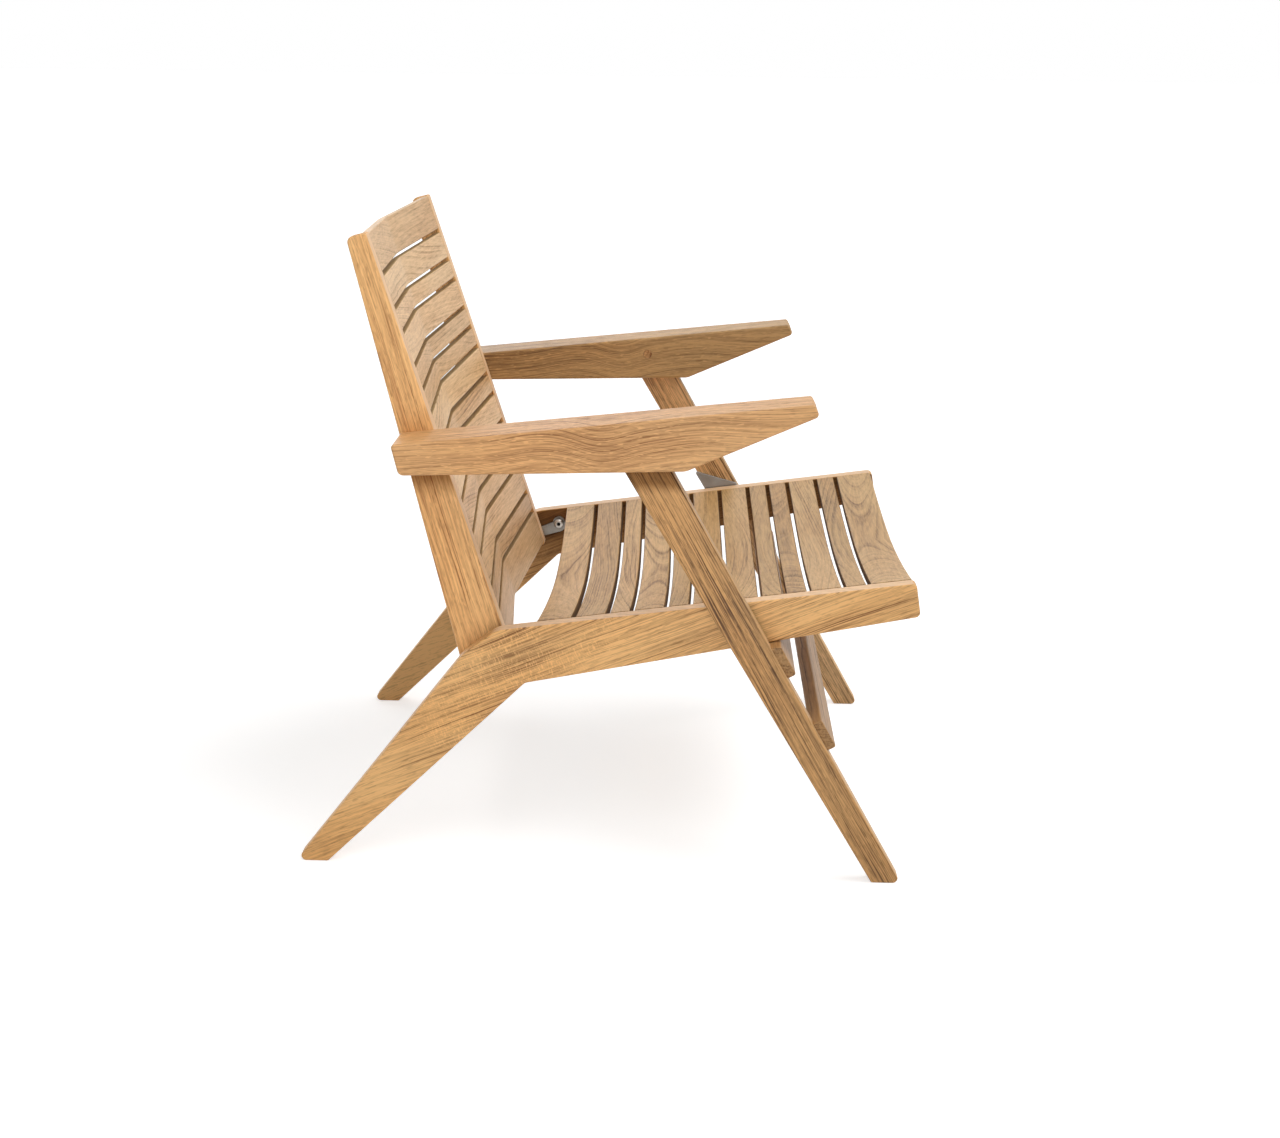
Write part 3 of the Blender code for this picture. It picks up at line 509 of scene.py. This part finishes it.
def soft_copy(node):
    """Piece with the solid's shape: facets merged, edges shaded round, arrises marked for wear."""
    solid = frame["nodes"][node]
    bm = bmesh.new()
    bm.from_mesh(solid.data)
    bmesh.ops.remove_doubles(bm, verts=bm.verts, dist=MERGE)
    bmesh.ops.dissolve_limit(bm, angle_limit=math.radians(FLAT_BELOW), verts=bm.verts, edges=bm.edges)
    worn = bm.verts.layers.float.new("arris")
    for f in bm.faces:
        f.smooth = True
    for e in bm.edges:
        turn = math.degrees(e.calc_face_angle(0.0))
        e.smooth = turn < SMOOTH_BELOW
        if ARRIS_FROM < turn < SMOOTH_BELOW:
            for v in e.verts:
                v[worn] = 1.0
    mesh = bpy.data.meshes.new(node + "_piece")
    bm.to_mesh(mesh)
    bm.free()
    piece = bpy.data.objects.new(node + "_piece", mesh)
    bpy.context.scene.collection.objects.link(piece)
    weight = piece.modifiers.new("flat_faces", "WEIGHTED_NORMAL")
    weight.mode, weight.weight, weight.keep_sharp = "FACE_AREA", FACE_WEIGHT, True
    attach(piece, solid["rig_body"])
    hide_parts(node)
    return piece


def dress(node, mat):
    piece = soft_copy(node)
    piece.data.materials.append(mat)
    return piece


def middle(node):
    low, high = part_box(node)
    return (low + high) / 2


def board(node, slot, along, across, **cut):
    """A piece of teak; cut says how it lies in the log and what shows on it, as teak() lists it."""
    dress(node, teak(node, middle(node), along, across, **cut))


# Painted shade on a bolt: reach of its socket and start of its rim as shares of the head, whose top stays
# free of it down to HEAD_TOP, in metres
SOCKET_REACH, RIM_START = 0.45, 0.95
HEAD_TOP = 0.0005
SOCKET_PAINTED_SHADE, RIM_PAINTED_SHADE = 1.0, 0.75


def dress_bolt(node, mat, head_inside=True):
    """Bolt or screw with painted shade in its socket and round the foot of its head."""
    piece = dress(node, mat)
    axis = middle(node)
    grime = piece.data.attributes.new("grime", "FLOAT", "POINT")
    places = [v.co for v in piece.data.vertices]
    reach = [math.hypot(p.y - axis.y, p.z - axis.z) for p in places]
    head = max(reach)
    outward = [abs(p.x) for p in places]
    top = min(outward) if head_inside else max(outward)
    for i, r in enumerate(reach):
        if abs(outward[i] - top) <= HEAD_TOP:
            continue
        if r < SOCKET_REACH * head:
            grime.data[i].value = SOCKET_PAINTED_SHADE
        elif r > RIM_START * head:
            grime.data[i].value = RIM_PAINTED_SHADE


# Teak tones in display values: (light, dark)
ARM_HONEY = (linear(222, 172, 116), linear(124, 80, 38))
# Darker copy of the armrest's tones for the left armrest: painted shade
ARM_PAINTED_SHADE_TONES = (linear(199, 157, 102), linear(101, 71, 35))
STILE_AMBER = (linear(248, 196, 130), linear(160, 100, 50))
RAIL_GOLD = (linear(240, 189, 124), linear(119, 75, 33))
LEG_BROWN = (linear(208, 160, 103), linear(88, 57, 28))
LEG_ASH = (linear(236, 192, 138), linear(112, 80, 47))
SAND = (linear(240, 204, 157), linear(168, 128, 86))
OAT = (linear(226, 187, 139), linear(146, 108, 69))
BACK_CLAY = (linear(206, 168, 124), linear(126, 92, 58))
SEAT_OAT = (linear(207, 168, 113), linear(124, 91, 52))
SEAT_CLAY = (linear(194, 154, 98), linear(108, 79, 43))
BAR_BROWN = (linear(190, 148, 98), linear(96, 66, 36))
# Painted sheen: paler, greyer colours on the stiles' front edges, the rails' upper edges and the legs' front
# edges
SHEEN_PAINTED_EDGE = linear(234, 202, 167)
LEG_SHEEN_PAINTED_EDGE = linear(218, 180, 132)
# Painted shade in the gaps between slats, on the rails' bed of slats and under the armrests, as shares of the
# sanded faces' colour
GAP_PAINTED_SHADE = (0.27, 0.215, 0.155, 1.0)
BACK_GAP_PAINTED_SHADE = (0.50, 0.48, 0.38, 1.0)
UNDER_ARM_PAINTED_SHADE = (0.50, 0.44, 0.38, 1.0)

# What shows on the boards of each side, as teak() lists it
ARM_TONES = {"right": ARM_HONEY, "left": ARM_PAINTED_SHADE_TONES}
ARM_BENDS = [(-0.070, 0.050, 0.009), (-0.004, 0.032, -0.009), (0.105, 0.055, 0.008)]
# The left armrest's darker patch at its rear end is painted shade
ARM_STAINS_AND_SHADE = {"right": [(0.01, 0.0, 0.10, 0.030, 0.21)], "left": [(-0.22, 0.0, 0.14, 0.060, 0.30)]}
STILE_STAINS = [(0.17, 0.004, 0.06, 0.004, 0.30), (-0.05, -0.008, 0.08, 0.006, 0.10)]
KNEE_RAYS = {"right": (0.42, -0.20, 0.08), "left": (0.42, -0.42, 0.08)}
KNEE_STAINS = {"right": [(-0.060, 0.118, 0.060, 0.024, 0.37), (0.19, 0.05, 0.10, 0.03, 0.10),
                         (-0.10, 0.065, 0.050, 0.030, 0.16), (0.06, 0.08, 0.060, 0.030, -0.20),
                         (-0.17, 0.080, 0.040, 0.030, -0.09)],
               "left": [(-0.050, 0.118, 0.060, 0.022, 0.26), (-0.25, 0.0, 0.18, 0.10, -0.14)]}
LEG_TONES = {"right": LEG_BROWN, "left": LEG_ASH}
LEG_STAINS = [(-0.215, 0.0, 0.040, 0.050, -0.20), (-0.080, 0.0, 0.030, 0.050, 0.14),
              (-0.050, 0.014, 0.070, 0.005, 0.34), (0.000, 0.005, 0.110, 0.0022, 0.36),
              (-0.110, -0.005, 0.080, 0.0020, 0.26), (0.130, 0.009, 0.090, 0.0022, 0.28),
              (0.090, -0.006, 0.100, 0.0030, 0.16)]

# Top of the slats' bed, measured square to the seat and a little below the slats, and the seat's length
BED_DROP = 0.0015
BED_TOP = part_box("seat_slat_12")[1].dot(SEAT_FACE) - BED_DROP
SEAT_REAR, SEAT_FRONT = -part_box("seat_slat_01")[1].y, -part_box("seat_slat_12")[0].y
# Height of the painted shade under an armrest, a little above its lower edge, and how far it reaches down
ARM_OVERLAP = 0.005
ARM_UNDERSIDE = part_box("armrest_right")[0].z + ARM_OVERLAP
STILE_SHADE_REACH, LEG_SHADE_REACH = 0.050, 0.026


def armrest(side, sign):
    board(f"armrest_{side}", "teak_frame", ARM_GRAIN, across_of(ARM_GRAIN), tones=ARM_TONES[side],
          shift=1.7 + sign, pith=(-0.110, -0.060 * sign), pitch=0.0052, taper=0.008, wander=0.45,
          profile=THIN_RING, lines=0.80, fine=1.3, even=0.6, pores=0.45, flecks=0.40, bends=ARM_BENDS,
          stains=ARM_STAINS_AND_SHADE[side])


def back_stile(side, sign):
    """Stile with painted sheen on its front edge and painted shade where it meets the armrest."""
    edge = facing(BACK_FACE, turned=0.7, full=0.95, share=0.6)
    joint = under_arm(ARM_UNDERSIDE, STILE_SHADE_REACH, SIDE * sign)
    board(f"back_stile_{side}", "teak_frame", STILE_GRAIN, across_of(STILE_GRAIN), tones=STILE_AMBER,
          shift=4.2 + sign, pith=(0.200, -0.060 * sign), pitch=0.0080, taper=0.01, wander=0.5, fine=1.3,
          pores=0.55, flecks=0.2, stains=STILE_STAINS,
          faces=[(edge, SHEEN_PAINTED_EDGE, "MIX"), (joint, UNDER_ARM_PAINTED_SHADE, "MULTIPLY")])


def rear_leg_rail(side, sign):
    """Bent board with painted sheen on its upper edge, rays at the knee and painted shade on the bed for the
    slats.
    """
    edge = facing(SEAT_FACE, turned=0.86, full=0.98, share=0.6)
    bed = slat_bed(SIDE * -sign, SEAT_FACE, BED_TOP, SEAT_REAR, SEAT_FRONT)
    board(f"rear_leg_rail_{side}", "teak_frame", RAIL_GRAIN, across_of(RAIL_GRAIN), tones=RAIL_GOLD,
          shift=6.3 + sign, pith=(0.210, -0.050 * sign), pitch=0.0062, wander=0.8, lines=0.75, fine=1.6,
          even=0.75, pores=0.45, rays=KNEE_RAYS[side], quiet=(-0.20, -0.30), stains=KNEE_STAINS[side],
          faces=[(edge, SHEEN_PAINTED_EDGE, "MIX"), (bed, GAP_PAINTED_SHADE, "MULTIPLY")])


def front_leg(side, sign):
    """Leg with painted sheen on its front edge and painted shade where it goes into the armrest."""
    edge = facing(LEG_FRONT, turned=0.5, full=0.9, share=0.5)
    joint = under_arm(ARM_UNDERSIDE, LEG_SHADE_REACH, SIDE * sign)
    board(f"front_leg_{side}", "teak_frame", LEG_GRAIN, across_of(LEG_GRAIN), tones=LEG_TONES[side],
          shift=8.8 + sign, pith=(0.120, -0.045 * sign), pitch=0.0080, wander=0.4, profile=THIN_RING,
          lines=1.3, fine=2.3, even=0.7, pores=0.6, flecks=0.2, stains=LEG_STAINS,
          faces=[(edge, LEG_SHEEN_PAINTED_EDGE, "MIX"), (joint, UNDER_ARM_PAINTED_SHADE, "MULTIPLY")])


def arm_plug(side, sign):
    board(f"arm_plug_{side}", "teak_frame", SIDE, ARM_GRAIN, tones=ARM_HONEY, shift=2.2 + sign,
          pith=(0.030, 0.012), pitch=0.0045)


for side, sign in (("left", 1.0), ("right", -1.0)):
    armrest(side, sign)
    back_stile(side, sign)
    rear_leg_rail(side, sign)
    front_leg(side, sign)
    arm_plug(side, sign)

for bar, shift in (("stop_bar", 3.3), ("stretcher", 5.9)):
    board(bar, "teak_frame", SIDE, LEG_GRAIN, tones=BAR_BROWN, shift=shift, pith=(0.045, 0.030), pitch=0.0055,
          wander=0.9)


# Slats: each from another board, most of them rift sawn, so that the hollow bows their lines. The cut of a
# slat differs from the next one's by these steps, in radians: (swing, lift, lean)
SEAT_STEPS = (2.4, 1.7, 2.1)
BACK_STEPS = (2.9, 1.3, 2.7)
SWING_REACH, LIFT_REACH = 0.04, 0.03


def rift_sawn(swing, lift, beside, below):
    """Place of the pith beside and below a slat; swing and lift, from -1 to 1, vary it."""
    return math.copysign(beside + SWING_REACH * abs(swing), swing), below + LIFT_REACH * lift


def gap_sides(index, last, to_first, shade):
    """The sides of a slat that look at a neighbour, darkened with painted shade; to_first points at the slat
    before it.
    """
    ways = [way for way, is_end in ((to_first, index == 1), (-to_first, index == last)) if not is_end]
    return [(facing(*ways), shade, "MULTIPLY")]


SEAT_TONES = (SEAT_OAT, SEAT_CLAY, SEAT_OAT, SEAT_OAT, SEAT_CLAY, SEAT_OAT, SEAT_OAT, SEAT_CLAY, SEAT_CLAY,
              SEAT_OAT, SEAT_CLAY, SEAT_OAT)
BACK_TONES = (OAT, SAND, SAND, SAND, OAT, OAT, SAND, OAT, SAND, OAT, OAT, OAT, BACK_CLAY, BACK_CLAY)
# Flat sawn seat slats and the place of their pith
FLAT_SAWN = {1: (0.012, 0.070), 4: (-0.008, 0.055), 9: (0.006, 0.062), 12: (0.004, 0.045)}


def seat_slat(i, tones):
    turns = [i * step for step in SEAT_STEPS]
    swing, lift, lean = math.sin(turns[0]), math.cos(turns[1]), math.cos(turns[2])
    board(f"seat_slat_{i:02d}", "teak_slat", SIDE, TO_SEAT_REAR, tones=tones, shift=1.3 * i,
          pith=FLAT_SAWN.get(i, rift_sawn(swing, lift, beside=0.055, below=0.085)),
          pitch=0.0040 + 0.0008 * swing, taper=0.03 * lean, wander=0.9, profile=SOFT_RING, fine=1.0, even=0.6,
          faces=gap_sides(i, len(SEAT_TONES), TO_SEAT_REAR, GAP_PAINTED_SHADE))


def back_slat(i, tones):
    turns = [i * step for step in BACK_STEPS]
    swing, lift, lean = math.cos(turns[0]), math.sin(turns[1]), math.sin(turns[2])
    board(f"back_slat_{i:02d}", "teak_slat", SIDE, TO_BACK_TOP, tones=tones, shift=2.7 + 1.7 * i,
          pith=rift_sawn(swing, lift, beside=0.060, below=0.080), pitch=0.0046 + 0.0010 * swing,
          taper=0.06 * lean, wander=0.8, profile=SOFT_RING, lines=0.85, fine=0.8, even=0.5,
          faces=gap_sides(i, len(BACK_TONES), TO_BACK_TOP, BACK_GAP_PAINTED_SHADE))


for i, tones in enumerate(SEAT_TONES, 1):
    seat_slat(i, tones)
for i, tones in enumerate(BACK_TONES, 1):
    back_slat(i, tones)

# Fittings
PLATE_STEEL = brushed_steel("plate_steel", LEG_GRAIN, linear(168, 168, 168))
BRACKET_STEEL = brushed_steel("bracket_steel", STILE_GRAIN, linear(142, 137, 130))
FITTING_STEEL = brushed_steel("fitting_steel", FORWARD, linear(190, 184, 176))
for side in ("left", "right"):
    dress(f"pivot_plate_{side}", PLATE_STEEL)
    dress(f"hinge_bracket_{side}", BRACKET_STEEL)
    for fitting in ("hinge_spacer", "pivot_washer", "arm_pin"):
        dress(f"{fitting}_{side}", FITTING_STEEL)
    for bolt in ("hinge_bolt", "leg_pivot_bolt", "arm_bolt"):
        dress_bolt(f"{bolt}_{side}", FITTING_STEEL)
    for k in (1, 2):
        dress_bolt(f"bracket_screw_{side}_{k}", FITTING_STEEL, head_inside=False)

# Stage: pale floor that reads white to the camera and keeps the chair's shadow, and the grey of the sky that
# lights the chair
FLOOR_HALF = 40.0
FLOOR_GREY, FLOOR_GLOW, FLOOR_ROUGH = 0.72, 0.60, 0.9
AMBIENT = 0.18


def seen_or_mirrored(w):
    """1 for rays from the camera, from gloss or through glass, and 0 for the light on the chair."""
    ray = w.make("ShaderNodeLightPath", {}, {}, "Is Camera Ray").socket.node.outputs
    either = w.math("MAXIMUM", Wire(w.tree, ray["Is Camera Ray"]), Wire(w.tree, ray["Is Glossy Ray"]))
    return w.math("MAXIMUM", either, Wire(w.tree, ray["Is Transmission Ray"]))


def pale_floor():
    mesh = bpy.data.meshes.new("studio_floor")
    corners = [(-1, -1), (1, -1), (1, 1), (-1, 1)]
    mesh.from_pydata([(FLOOR_HALF * x, FLOOR_HALF * y, 0.0) for x, y in corners], [], [(0, 1, 2, 3)])
    floor = bpy.data.objects.new("studio_floor", mesh)
    bpy.context.scene.collection.objects.link(floor)
    paper, shader, w = new_material("pale_floor")
    shader.inputs["Base Color"].default_value = grey(FLOOR_GREY)
    shader.inputs["Roughness"].default_value = FLOOR_ROUGH
    shader.inputs["Specular IOR Level"].default_value = 0.0
    shader.inputs["Emission Strength"].default_value = 1.0
    seen_or_mirrored(w).mixed(grey(0.0), grey(FLOOR_GLOW)).feed(shader, "Emission Color")
    mesh.materials.append(paper)


def studio_world():
    world = bpy.data.worlds.new("studio")
    world.use_nodes = True
    bpy.context.scene.world = world
    sky = seen_or_mirrored(Wire(world.node_tree, None)).mixed(grey(AMBIENT), grey(1.0))
    sky.feed(world.node_tree.nodes["Background"], "Color")


def add_lamp(name, data, towards):
    """Put a lamp into the scene that shines against the direction towards it."""
    lamp = bpy.data.objects.new(name, data)
    lamp.rotation_mode = "QUATERNION"
    lamp.rotation_quaternion = Vector(towards).to_track_quat("Z", "Y")
    bpy.context.scene.collection.objects.link(lamp)
    return lamp


def sun_lamp(name, towards, strength, spread):
    """Broad soft light from far away; towards points from the chair to the light."""
    data = bpy.data.lights.new(name, "SUN")
    data.energy, data.angle = strength, math.radians(spread)
    add_lamp(name, data, towards)


def softbox(name, place, aim, wide, high, watts):
    """Light panel beside the chair, turned towards aim."""
    data = bpy.data.lights.new(name, "AREA")
    data.shape, data.size, data.size_y, data.energy = "RECTANGLE", wide, high, watts
    panel = add_lamp(name, data, Vector(place) - Vector(aim))
    panel.location = place
    panel.visible_camera = False


def photo_camera():
    """Camera at the place and with the tilt that the photograph was taken from."""
    yaw, pitch, roll = (math.radians(a) for a in (YAW, PITCH, ROLL))
    look = Vector((math.cos(yaw) * math.cos(pitch), -math.sin(yaw) * math.cos(pitch), -math.sin(pitch)))
    level = Vector((-math.sin(yaw), -math.cos(yaw), 0.0))
    upright = level.cross(look)
    right = math.cos(roll) * level + math.sin(roll) * upright
    up = math.cos(roll) * upright - math.sin(roll) * level
    view = bpy.data.cameras.new("photo_camera")
    view.lens, view.sensor_width, view.clip_end = LENS, SENSOR, FAR_CLIP
    camera = bpy.data.objects.new("photo_camera", view)
    camera.matrix_world = Matrix((right, up, -look)).transposed().to_4x4()
    camera.location = EYE
    bpy.context.scene.collection.objects.link(camera)
    bpy.context.scene.camera = camera


pale_floor()
studio_world()
softbox("key_panel", place=(-1.05, 0.10, 1.05), aim=(0.0, 0.0, 0.35), wide=1.1, high=0.9, watts=4.3)
softbox("low_panel", place=(-1.15, 0.0, 0.28), aim=(0.0, 0.0, 0.22), wide=1.0, high=0.35, watts=1.3)
sun_lamp("top_light", towards=(-0.05, -0.7, 1.0), strength=1.9, spread=50.0)
sun_lamp("far_light", towards=(1.0, 0.6, 0.6), strength=0.9, spread=60.0)
photo_camera()
bpy.context.scene.view_settings.view_transform = "Standard"
